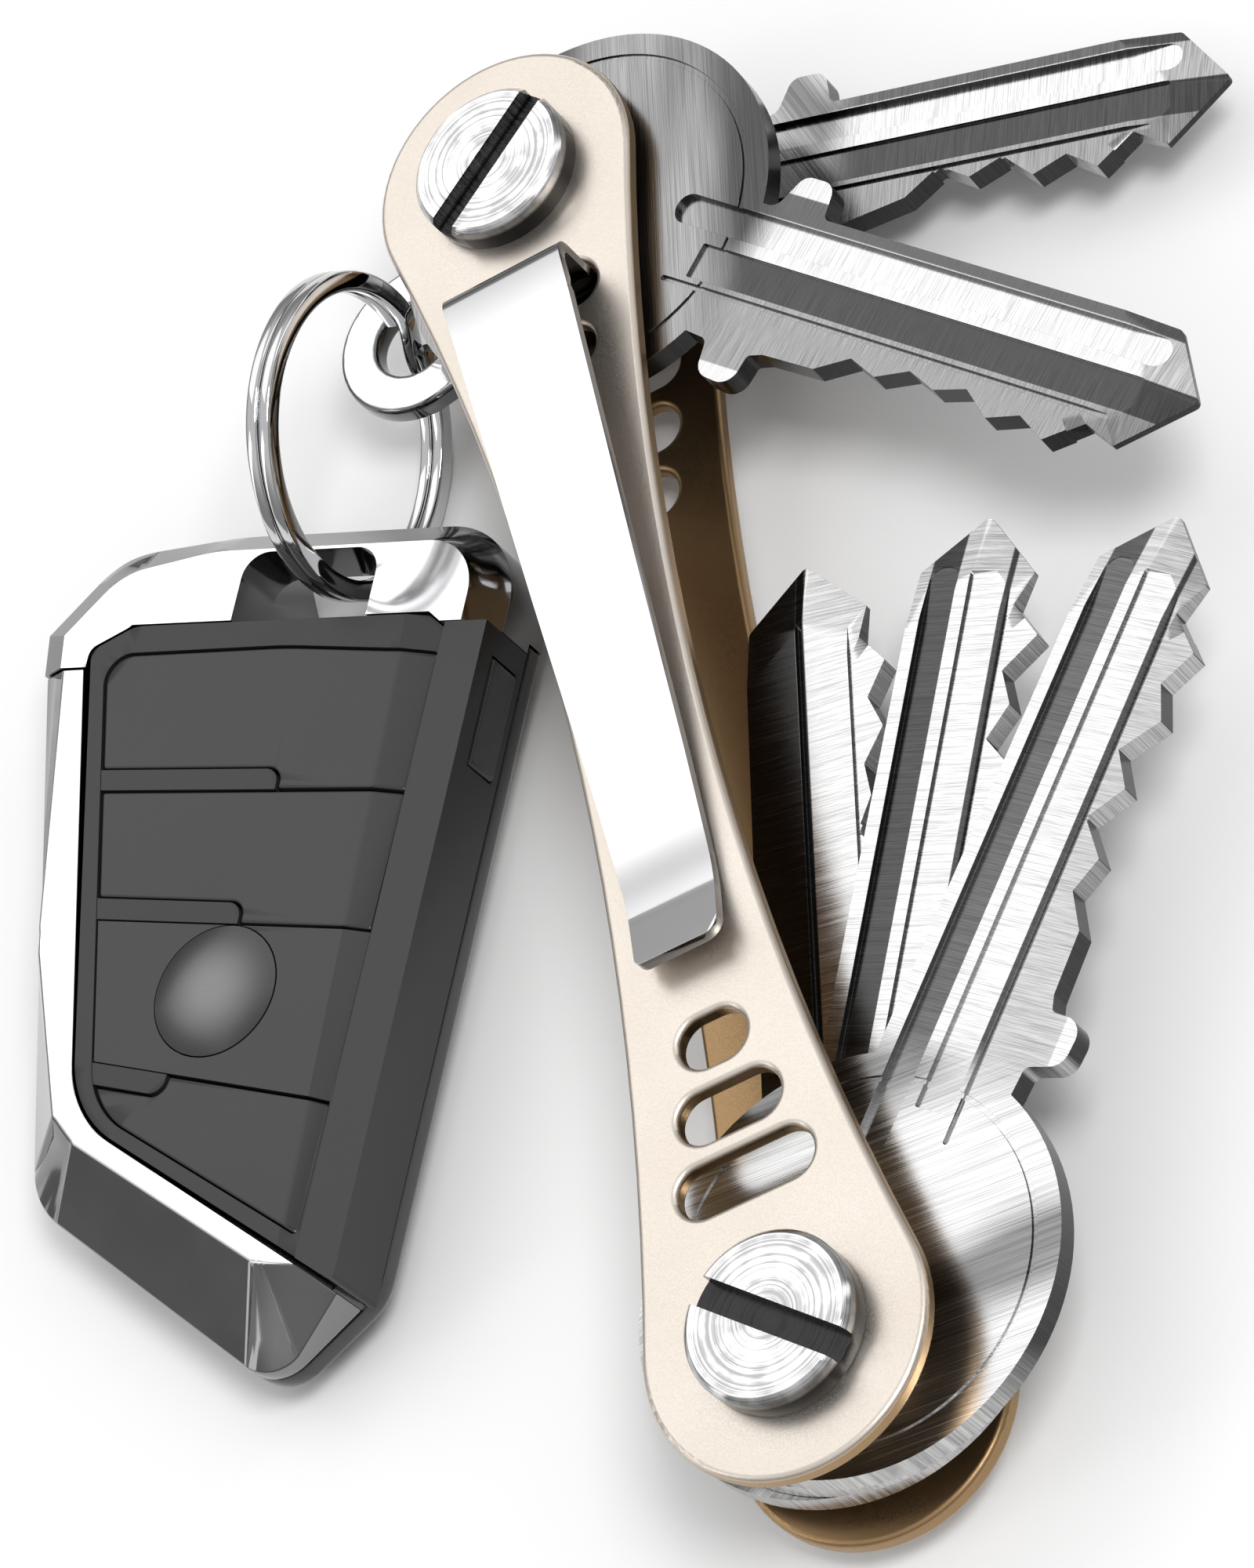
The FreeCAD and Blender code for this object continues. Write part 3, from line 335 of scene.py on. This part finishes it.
def two_way_plastic(name, top, side):
    """One black moulding, satin on its top strip and glossy down its walls."""
    finish = Finish(name, top, 0.0, 0.2)
    upward = finish.remap(finish.facing((0, 0, 1)), 0.55, 0.8, 0, 1)
    grain = finish.noise(finish.place(grain=(0.07 * MM,) * 3), detail=2.0)
    finish.tint(finish.maths("MULTIPLY", upward, finish.remap(grain, 0.3, 0.7, 0.85, 1)),
                side, top)
    finish.join(finish.blend(upward, finish.remap(grain, 0.3, 0.7, 0.18, 0.26),
                             finish.remap(grain, 0.3, 0.7, 0.28, 0.36)),
                finish.shader.inputs["Roughness"])
    return finish.relief([(grain, 0.12, 0.004 * MM)])


def plain_inside(name, colour, metallic, roughness):
    """A hidden working part: cast, stamped or moulded, with an uneven tone."""
    finish = Finish(name, colour, metallic, roughness)
    spots = finish.noise(finish.place(grain=(0.6 * MM,) * 3))
    finish.tint(finish.remap(spots, 0.3, 0.7, 0, 1), scaled(colour, 0.8), colour)
    finish.rough(spots, roughness * 0.85, roughness * 1.15)
    return finish.relief([(spots, 0.2, 0.01 * MM)])


# ---------------------------------------------------------------- pieces

def dress(node, material):
    """Give a carried-over part its finish."""
    mesh = NODES[node].data
    for i in range(len(mesh.materials)):
        mesh.materials[i] = material


def keep_place(piece, node, material):
    """Let a finished piece stand for a part: it takes the part's body and the finish, and the part is hidden."""
    piece.data.materials.clear()
    piece.data.materials.append(material)
    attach(piece, BODY_OF[node])
    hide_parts(node)
    return piece


def eased_copy(node, width, segments=2, corner=25.0, shape=None):
    """The part's own shape with its outer edges rounded over by a width."""
    mesh = NODES[node].data.copy()
    if "custom_normal" in mesh.attributes:
        mesh.attributes.remove(mesh.attributes["custom_normal"])
    work = bmesh.new()
    work.from_mesh(mesh)
    bmesh.ops.remove_doubles(work, verts=work.verts, dist=0.002 * MM)
    bmesh.ops.dissolve_limit(work, angle_limit=math.radians(0.6), verts=work.verts,
                             edges=work.edges)
    crease = shape(work) if shape else []
    sharp = [edge for edge in work.edges if len(edge.link_faces) == 2 and edge.is_convex
             and edge.calc_face_angle() > math.radians(corner)]
    sharp += [edge for edge in crease if edge not in sharp]
    bmesh.ops.bevel(work, geom=sharp, offset=width, offset_type="OFFSET",
                    segments=segments, profile=0.5, affect="EDGES", clamp_overlap=True)
    bmesh.ops.triangulate(work, faces=work.faces)
    work.to_mesh(mesh)
    work.free()
    return smooth_piece(node + "_eased", mesh)


def smooth_piece(name, mesh):
    """An object whose broad faces look flat and whose narrow ones blend into them."""
    mesh.shade_smooth()
    mesh.set_sharp_from_angle(angle=math.radians(40))
    piece = bpy.data.objects.new(name, mesh)
    bpy.context.scene.collection.objects.link(piece)
    weights = piece.modifiers.new("broad_faces_first", "WEIGHTED_NORMAL")
    weights.keep_sharp = True
    weights.weight = 100
    return plain_mesh(piece)


def plain_mesh(piece):
    """Turn an object with modifiers into a plain mesh at the origin."""
    bpy.context.view_layer.update()
    evaluated = piece.evaluated_get(bpy.context.evaluated_depsgraph_get())
    mesh = bpy.data.meshes.new_from_object(evaluated)
    piece.modifiers.clear()
    piece.data = mesh
    return piece


# ---------------------------------------------------------------- split ring

def wound_wire_tree(material):
    """Geometry nodes: flat wire wound twice, stepping over from one coil to the other."""
    tree = bpy.data.node_groups.new("wound_wire", "GeometryNodeTree")
    for name, value in (("Radius", 0.0086), ("Coil spacing", 0.0009), ("Wire wide", 0.0008),
                        ("Wire thick", 0.0012), ("End gap", 0.02), ("Edge", 0.0002)):
        socket = tree.interface.new_socket(name, in_out="INPUT", socket_type="NodeSocketFloat")
        socket.default_value = value
    tree.interface.new_socket("Geometry", in_out="OUTPUT", socket_type="NodeSocketGeometry")
    link = tree.links.new

    def add(kind, **settings):
        node = tree.nodes.new(kind)
        for name, value in settings.items():
            setattr(node, name, value)
        return node

    def maths(operation, *values):
        node = add("ShaderNodeMath", operation=operation)
        for socket, value in zip(node.inputs, values):
            if isinstance(value, (int, float)):
                socket.default_value = value
            else:
                link(value, socket)
        return node.outputs[0]

    given = add("NodeGroupInput").outputs
    line = add("GeometryNodeCurvePrimitiveLine")
    fine = add("GeometryNodeResampleCurve")
    fine.inputs["Count"].default_value = 241
    link(line.outputs["Curve"], fine.inputs["Curve"])
    along = add("GeometryNodeSplineParameter").outputs["Factor"]
    used = maths("SUBTRACT", 2.0, maths("MULTIPLY", 2.0, given["End gap"]))
    turns = maths("ADD", given["End gap"], maths("MULTIPLY", along, used))
    angle = maths("MULTIPLY", turns, 2 * math.pi)
    step = add("ShaderNodeMapRange", interpolation_type="SMOOTHSTEP")
    for socket, number in (("From Min", 0.48), ("From Max", 0.52), ("To Min", -0.5),
                           ("To Max", 0.5)):
        step.inputs[socket].default_value = number
    link(along, step.inputs["Value"])
    place = add("ShaderNodeCombineXYZ")
    link(maths("MULTIPLY", given["Radius"], maths("COSINE", angle)), place.inputs["X"])
    link(maths("MULTIPLY", given["Radius"], maths("SINE", angle)), place.inputs["Y"])
    link(maths("MULTIPLY", given["Coil spacing"], step.outputs["Result"]), place.inputs["Z"])
    wound = add("GeometryNodeSetPosition")
    link(fine.outputs["Curve"], wound.inputs["Geometry"])
    link(place.outputs["Vector"], wound.inputs["Position"])
    upright = add("GeometryNodeSetCurveNormal", mode="Z_UP")
    link(wound.outputs["Geometry"], upright.inputs["Curve"])
    section = add("GeometryNodeCurvePrimitiveQuadrilateral")
    link(given["Wire thick"], section.inputs["Width"])
    link(given["Wire wide"], section.inputs["Height"])
    soft = add("GeometryNodeFilletCurve", mode="POLY")
    soft.inputs["Count"].default_value = 3
    soft.inputs["Limit Radius"].default_value = True
    link(section.outputs["Curve"], soft.inputs["Curve"])
    link(given["Edge"], soft.inputs["Radius"])
    wire = add("GeometryNodeCurveToMesh")
    wire.inputs["Fill Caps"].default_value = True
    link(upright.outputs["Curve"], wire.inputs["Curve"])
    link(soft.outputs["Curve"], wire.inputs["Profile Curve"])
    real = add("GeometryNodeRealizeInstances")
    link(wire.outputs["Mesh"], real.inputs["Geometry"])
    paint = add("GeometryNodeSetMaterial")
    paint.inputs["Material"].default_value = material
    link(real.outputs["Geometry"], paint.inputs["Geometry"])
    link(paint.outputs["Geometry"], add("NodeGroupOutput").inputs["Geometry"])
    return tree


def split_ring(material):
    """The two-turn ring, wound in its own plane and then stood in the loop."""
    low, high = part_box("split_ring")
    centre = (low + high) / 2
    outer = (high.z - low.z) / 2
    thick, wide, clear = 1.18 * MM, 0.76 * MM, 0.07 * MM
    mount = next(m for m in frame["record"]["mounts"] if m["name"] == "ring_inside")
    axis = Vector(mount["axis"]).normalized()
    piece = bpy.data.objects.new("split_ring_wound", bpy.data.meshes.new("split_ring_wound"))
    bpy.context.scene.collection.objects.link(piece)
    modifier = piece.modifiers.new("wound_wire", "NODES")
    modifier.node_group = wound_wire_tree(material)
    sizes = {"Radius": outer - thick / 2, "Coil spacing": wide + clear, "Wire wide": wide,
             "Wire thick": thick, "End gap": 0.022, "Edge": 0.22 * MM}
    for item in modifier.node_group.interface.items_tree:
        if item.in_out == "INPUT":
            modifier[item.identifier] = sizes[item.name]
    plain_mesh(piece)
    sideways = axis.cross(Vector((0, 0, 1))).normalized()
    stand = Matrix((sideways, axis.cross(sideways), axis)).transposed().to_4x4()
    start = Matrix.Rotation(math.radians(20), 4, "Z")
    piece.data.transform(Matrix.Translation(centre) @ stand @ start)
    piece.data.shade_smooth()
    piece.data.set_sharp_from_angle(angle=math.radians(50))
    return keep_place(piece, "split_ring", material)


# ---------------------------------------------------------------- dressing the parts

CHAMPAGNE = (0.77, 0.705, 0.635)
# the deeper champagne below is painted shade for the plates' inner faces
CHAMPAGNE_SHADED = (0.36, 0.235, 0.12)
STEEL = (0.84, 0.84, 0.84)
NICKEL = (0.88, 0.88, 0.88)
CHROME = (0.88, 0.88, 0.89)
DARK_GREY = (0.026, 0.026, 0.0265)
FRAME_GREY = (0.022, 0.022, 0.0225)
DOME_GREY = (0.20, 0.20, 0.20)
PIANO_BLACK = (0.006, 0.006, 0.007)
COIN_SLOT_DEPTH = 0.95 * MM


def dress_frame():
    # each plate's inner face gets painted shade in the deeper champagne
    dress("front_plate", anodised("champagne_front", CHAMPAGNE, CHAMPAGNE_SHADED, (0, 0, 1)))
    dress("back_plate", anodised("champagne_back", CHAMPAGNE, CHAMPAGNE_SHADED, (0, 0, -1)))
    for end, joint in (("top", "key_a_turn"), ("bottom", "key_c_turn")):
        x, y, _ = JOINTS[joint]["pos_m"]
        face = (x, y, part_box(end + "_screw")[1].z)
        # slot: painted shade in the coin slot, near black at its floor
        steel = turned(end + "_screw_steel", STEEL, face, 0.10, 0.26,
                       slot=(-COIN_SLOT_DEPTH, 0.03))
        keep_place(eased_copy(end + "_screw", 0.06 * MM), end + "_screw", steel)
        dress(end + "_post", turned(end + "_post_steel", STEEL, face, 0.14, 0.30))
        dress(end + "_spacers", turned(end + "_spacer_metal", scaled(STEEL, 0.8), face,
                                       0.25, 0.40))
    # the clip gets painted shade and reflection on its sides, at its top bend and at its foot
    clip = polished("clip_mirror", scaled(CHROME, 0.92), 0.05, 0.12, walls=0.35,
                    shades=((26.8, 45.0, 3.8, 0.30), (-11.0, -9.6, 2.2, 0.16)))
    keep_place(eased_copy("pocket_clip", 0.12 * MM), "pocket_clip", clip)


# for each key: its turn in degrees; in mm, how far the blade's middle line lies from the hole,
# and the (from, to, tone) bands of painted shade and reflection across the blade; the darkest and palest tone of
# the painted shade and reflection on its bow
KEY_LOOKS = {
    "key_a": (-18.7, 2.35, ((2.95, 4.5, 0.16), (-1.72, 0.32, 0.09), (-6, -1.72, 0.42)),
              (0.25, 0.9)),
    "key_b": (-45.5, 0.0, ((2.95, 4.5, 0.16), (-1.72, 0.32, 0.09), (-6, -1.72, 0.42)),
              (0.09, 0.45)),
    "key_c": (50.4, 0.0, ((1.1, 2.9, 0.16), (-2.1, -1.75, 0.08), (-6, -2.1, 0.65)),
              (0.3, 1.0)),
    "key_d": (65.0, 0.0, ((1.1, 2.9, 0.09), (-2.1, -1.75, 0.08)), (0.3, 1.0)),
    "key_e": (79.2, 0.0, ((0.65, 6, 0.06), (0.15, 0.65, 0.02)), (0.12, 1.0)),
}


def dress_keys():
    for node, (degrees, aside, bands, bow) in KEY_LOOKS.items():
        centre = JOINTS[node + "_turn"]["pos_m"]
        metal = brushed_key(node + "_nickel", centre, math.radians(degrees), aside * MM,
                            bands, bow)
        keep_place(eased_copy(node, 0.05 * MM, segments=1, corner=35.0), node, metal)


def dress_ring():
    # the loop gets painted shade and reflection on its sides
    loop = polished("loop_mirror", CHROME, 0.03, 0.08, walls=0.22)
    keep_place(eased_copy("ring_loop", 0.15 * MM), "ring_loop", loop)
    split_ring(polished("ring_mirror", scaled(CHROME, 0.75), 0.03, 0.07))


# the fob's own frame, in which x runs across its face and y towards the ring
FOB = Matrix.Translation((-31.12 * MM, 4.67 * MM, -1.88 * MM)) @ Matrix.Rotation(
    math.radians(-26.1), 4, "Z")
FOB_TOP = 7.86 * MM             # the upper face of the bright pieces
FACE_FOLD = (Vector((10.7, 14.0, 0.0)) * MM, Vector((11.6, -9.0, 0.0)) * MM)
FACE_LEVEL = 6.6 * MM           # what lies above this belongs to the face
FACE_FALL = 0.22                # how steeply the face falls beyond its fold
BAND_BEVEL_FOOT, BAND_BEVEL = 5.96, 1.9
BAND_END = 16.1                 # where the band meets the top cap


def share_of(value, start, span):
    """How far a value has gone from a start through a span, held between 0 and 1."""
    return min(1.0, max(0.0, (value - start) / span))


def folded_face(work):
    """Fold the fob's face down a little to the right of a line; returns the line's edges."""
    start, end = FACE_FOLD
    along = (end - start).normalized()
    right = Vector((-along.y, along.x, 0.0))
    cut = bmesh.ops.bisect_plane(
        work, geom=work.verts[:] + work.edges[:] + work.faces[:], dist=0.001 * MM,
        plane_co=FOB @ start, plane_no=FOB.to_3x3() @ right)
    back = FOB.inverted()
    for vertex in work.verts:
        place = back @ vertex.co
        beyond = (place - start).dot(right)
        if beyond > 0 and place.z > FACE_LEVEL:
            vertex.co.z -= FACE_FALL * beyond
    return [edge for edge in cut["geom_cut"] if isinstance(edge, bmesh.types.BMEdge)
            and all((back @ vertex.co).z > FACE_LEVEL for vertex in edge.verts)]


# the fold between the bright band's top facet and its wide outer slope, in the fob's frame
BAND_FOLD = [(-11.9, 16.2), (-10.3, 6.9), (-8.8, -0.3), (-7.2, -6.4), (-5.2, -10.7),
             (-2.6, -13.0), (1.9, -15.6), (6.6, -17.9), (10.5, -19.3), (13.3, -19.55)]
BAND_INNER = [(-10.45, BAND_END), (-3.5, -11.1), (15.2, -20.3)]


def nearest(place, line):
    """The point of a bent line in the XY plane that lies nearest to a place."""
    best = None
    for first, second in zip(line, line[1:]):
        first, second = Vector(first) * MM, Vector(second) * MM
        span = second - first
        point = first.lerp(second, share_of((place.xy - first).dot(span), 0.0,
                                            span.length_squared))
        if best is None or (point - place.xy).length < (best - place.xy).length:
            best = point
    return best


def wide_slope(work):
    """Widen the band's rim bevel into an outer slope that narrows the facet to a point."""
    back = FOB.inverted()
    for vertex in work.verts:
        place = back @ vertex.co
        gap = (nearest(place, BAND_INNER) - place.xy).length
        if place.z < 5.9 * MM or gap < 0.9 * MM:
            continue
        rise = (place.z / MM - BAND_BEVEL_FOOT) / BAND_BEVEL
        towards_foot = share_of(-place.y / MM, -BAND_END, 12.0)
        flat = place.xy.lerp(nearest(place, BAND_FOLD), rise)
        drop = (2.3 * towards_foot - 0.8) * MM * (1 - rise)
        vertex.co = FOB @ Vector((flat.x, flat.y, place.z - drop))
    bmesh.ops.remove_doubles(work, verts=work.verts, dist=0.02 * MM)
    return []


def shallow_rim(work):
    """Lift the foot of the cap's rim bevel on the band's side, so that it slopes alike."""
    back = FOB.inverted()
    for vertex in work.verts:
        place = back @ vertex.co
        on_rim = place.y > 22.95 * MM or place.x < -9.0 * MM
        if on_rim and 6.1 * MM < place.z < 7.8 * MM:
            towards_band = share_of(-place.x / MM, 4.0, 6.0)
            vertex.co.z += 0.45 * towards_band * (FOB_TOP - place.z)
    return []


def dress_fob():
    # the band and cap get painted shade and reflection on their slopes and walls
    bright = polished("fob_chrome", CHROME, 0.06, 0.14, walls=0.26)
    black = gloss_plastic("fob_piano_black", PIANO_BLACK)
    spine = two_way_plastic("fob_spine_black", FRAME_GREY, PIANO_BLACK)
    grey = satin_plastic("fob_frame_grey", FRAME_GREY)
    pad = satin_plastic("fob_button_grey", DARK_GREY, 0.22, 0.28)
    low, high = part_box("fob_badge")
    dome = domed_plastic("fob_dome_grey", DOME_GREY, (low + high) / 2, (high.x - low.x) / 2)
    for node, width, finish, shape in (
            ("fob_top_cap", 0.50, bright, shallow_rim),
            ("fob_side_band", 0.35, bright, wide_slope),
            ("fob_back_shell", 0.30, black, None),
            ("fob_side_button", 0.12, pad, None),
            ("fob_bezel", 0.10, grey, folded_face),
            ("fob_button_upper", 0.20, pad, folded_face),
            ("fob_button_middle", 0.20, pad, folded_face),
            ("fob_button_centre", 0.20, pad, folded_face),
            ("fob_button_lower", 0.20, pad, folded_face)):
        keep_place(eased_copy(node, width * MM, shape=shape), node, finish)
    dress("fob_spine", spine)
    dress("fob_badge", dome)
    dress("fob_circuit_board", plain_inside("board_green", (0.02, 0.12, 0.05), 0.0, 0.4))
    dress("fob_button_mat", plain_inside("mat_rubber", (0.03, 0.03, 0.03), 0.0, 0.7))
    dress("fob_switches", plain_inside("switch_steel", (0.55, 0.55, 0.55), 1.0, 0.3))
    dress("fob_coin_cell", plain_inside("cell_steel", (0.7, 0.7, 0.7), 1.0, 0.2))
    dress("fob_cell_clip", plain_inside("clip_brass", (0.7, 0.5, 0.2), 1.0, 0.3))
    dress("fob_aerial", plain_inside("aerial_ferrite", (0.05, 0.045, 0.045), 0.0, 0.6))


dress_frame()
dress_keys()
dress_ring()
dress_fob()


# ---------------------------------------------------------------- studio

def floor():
    half = 1.2
    level = CAD_BOX[0].z - 0.02 * MM
    mesh = bpy.data.meshes.new("floor")
    mesh.from_pydata([(-half, -half, level), (half, -half, level), (half, half, level),
                      (-half, half, level)], [], [(0, 1, 2, 3)])
    piece = bpy.data.objects.new("floor", mesh)
    bpy.context.scene.collection.objects.link(piece)
    finish = Finish("floor_paper", (0.93, 0.93, 0.93), 0.0, 0.8)
    fibres = finish.noise(finish.place(grain=(0.4 * MM,) * 3))
    finish.rough(fibres, 0.75, 0.85)
    mesh.materials.append(finish.material)


def softbox(name, direction, distance, wide, high, glow):
    """A soft light that faces the middle of the object; glow is how bright its cloth looks."""
    light = bpy.data.lights.new(name, "AREA")
    light.shape = "RECTANGLE"
    light.size = wide
    light.size_y = high
    light.energy = math.pi * wide * high * glow
    lamp = bpy.data.objects.new(name, light)
    bpy.context.scene.collection.objects.link(lamp)
    lamp.location = Vector(direction).normalized() * distance
    lamp.rotation_euler = (-lamp.location).to_track_quat("-Z", "Y").to_euler()


def sky():
    """A grey studio room: dark near the floor, pale overhead."""
    world = bpy.data.worlds.new("studio_room")
    bpy.context.scene.world = world
    world.use_nodes = True
    tree = world.node_tree
    tree.nodes.clear()
    source = tree.nodes.new("ShaderNodeTexCoord")
    split = tree.nodes.new("ShaderNodeSeparateXYZ")
    ramp = tree.nodes.new("ShaderNodeValToRGB")
    glow = tree.nodes.new("ShaderNodeBackground")
    output = tree.nodes.new("ShaderNodeOutputWorld")
    stops = [(0.0, 0.28), (0.25, 0.30), (0.44, 0.42), (0.68, 0.74)]
    while len(ramp.color_ramp.elements) < len(stops):
        ramp.color_ramp.elements.new(0.5)
    for element, (height, grey) in zip(ramp.color_ramp.elements, stops):
        element.position = height
        element.color = (grey, grey, grey, 1)
    tree.links.new(source.outputs["Generated"], split.inputs["Vector"])
    tree.links.new(split.outputs["Z"], ramp.inputs["Fac"])
    tree.links.new(ramp.outputs["Color"], glow.inputs["Color"])
    tree.links.new(glow.outputs["Background"], output.inputs["Surface"])
    glow.inputs["Strength"].default_value = 1.0


def camera():
    """Looks down at the face from the foot end, a little from the right."""
    right = Vector((0.85343, -0.19263, -0.48431))
    up = Vector((0.42096, 0.80265, 0.42255))
    back = Vector((0.30733, -0.56449, 0.76609))
    data = bpy.data.cameras.new("camera")
    data.sensor_width = 36.0
    data.lens = 153.29
    data.clip_start = 0.01
    view = bpy.data.objects.new("camera", data)
    bpy.context.scene.collection.objects.link(view)
    turn = Matrix((right, up, back)).transposed().to_4x4()
    view.matrix_world = Matrix.Translation((0.105009, -0.198847, 0.27547)) @ turn
    bpy.context.scene.camera = view


floor()
sky()
softbox("box_overhead", (-0.31, 0.56, 0.77), 0.7, 0.46, 0.46, 0.80)
softbox("box_left", (-0.9, -0.1, 0.45), 0.7, 0.16, 0.6, 1.5)
softbox("box_right", (0.9, 0.3, 0.5), 0.7, 0.12, 0.6, 1.5)
softbox("box_key", (0.45, -0.25, 0.86), 0.7, 0.22, 0.22, 14.0)
camera()
bpy.context.scene.view_settings.view_transform = "Standard"
